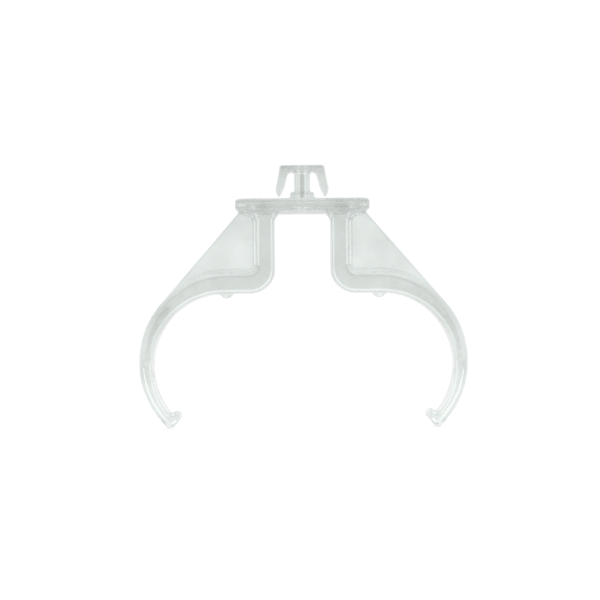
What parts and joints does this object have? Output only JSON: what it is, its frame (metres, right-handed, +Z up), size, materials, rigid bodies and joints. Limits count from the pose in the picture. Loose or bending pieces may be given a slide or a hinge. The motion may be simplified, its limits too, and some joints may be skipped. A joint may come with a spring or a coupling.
{
  "type": "twin-tube lamp clip",
  "caption": "Clear snap-in clip: a flange with a winged anchor snaps into a panel, and two sprung arms with lips hold a twin-tube lamp below it.",
  "frame": {"origin": "middle of the flange's top face, where the anchor goes through the panel", "axes": "+X across the two lamp tubes, +Y along the tubes, +Z up through the panel on the anchor's side"},
  "size_m": [0.0416, 0.015, 0.0331],
  "materials": {
    "clear_polycarbonate": "clear, glossy, as moulded"
  },
  "bodies": {
    "root": {"flange_plate": "clear_polycarbonate", "anchor_foot": "clear_polycarbonate", "anchor_collar": "clear_polycarbonate", "anchor_post": "clear_polycarbonate", "anchor_crown": "clear_polycarbonate", "right_leg": "clear_polycarbonate", "right_shelf": "clear_polycarbonate", "right_arm_root": "clear_polycarbonate", "right_web": "clear_polycarbonate", "right_tube_nub": "clear_polycarbonate", "left_leg": "clear_polycarbonate", "left_shelf": "clear_polycarbonate", "left_arm_root": "clear_polycarbonate", "left_web": "clear_polycarbonate", "left_tube_nub": "clear_polycarbonate"},
    "right_wing": {"right_anchor_wing": "clear_polycarbonate"},
    "right_upper": {"right_upper_arm": "clear_polycarbonate"},
    "right_lower": {"right_lower_arm": "clear_polycarbonate", "right_end_lip": "clear_polycarbonate"},
    "left_wing": {"left_anchor_wing": "clear_polycarbonate"},
    "left_upper": {"left_upper_arm": "clear_polycarbonate"},
    "left_lower": {"left_lower_arm": "clear_polycarbonate", "left_end_lip": "clear_polycarbonate"}
  },
  "joints": [
    {"name": "right_wing_flex", "type": "hinge", "parent": "root", "child": "right_wing", "pos_m": [0.00242, 0, 0.00322], "axis": [0, 1, 0], "range_deg": [0, 9], "stiffness_Nm_per_rad": 0.6},
    {"name": "right_arm_flex", "type": "hinge", "parent": "root", "child": "right_upper", "pos_m": [0.01798, 0, -0.01472], "axis": [0, -1, 0], "range_deg": [0, 13], "stiffness_Nm_per_rad": 1.6},
    {"name": "right_elbow_flex", "type": "hinge", "parent": "right_upper", "child": "right_lower", "pos_m": [0.01989, 0, -0.021], "axis": [0, -1, 0], "range_deg": [0, 8], "stiffness_Nm_per_rad": 1.6},
    {"name": "left_wing_flex", "type": "hinge", "parent": "root", "child": "left_wing", "pos_m": [-0.00242, 0, 0.00322], "axis": [0, -1, 0], "range_deg": [0, 9], "stiffness_Nm_per_rad": 0.6},
    {"name": "left_arm_flex", "type": "hinge", "parent": "root", "child": "left_upper", "pos_m": [-0.01798, 0, -0.01472], "axis": [0, 1, 0], "range_deg": [0, 13], "stiffness_Nm_per_rad": 1.6},
    {"name": "left_elbow_flex", "type": "hinge", "parent": "left_upper", "child": "left_lower", "pos_m": [-0.01989, 0, -0.021], "axis": [0, 1, 0], "range_deg": [0, 8], "stiffness_Nm_per_rad": 1.6}
  ]
}
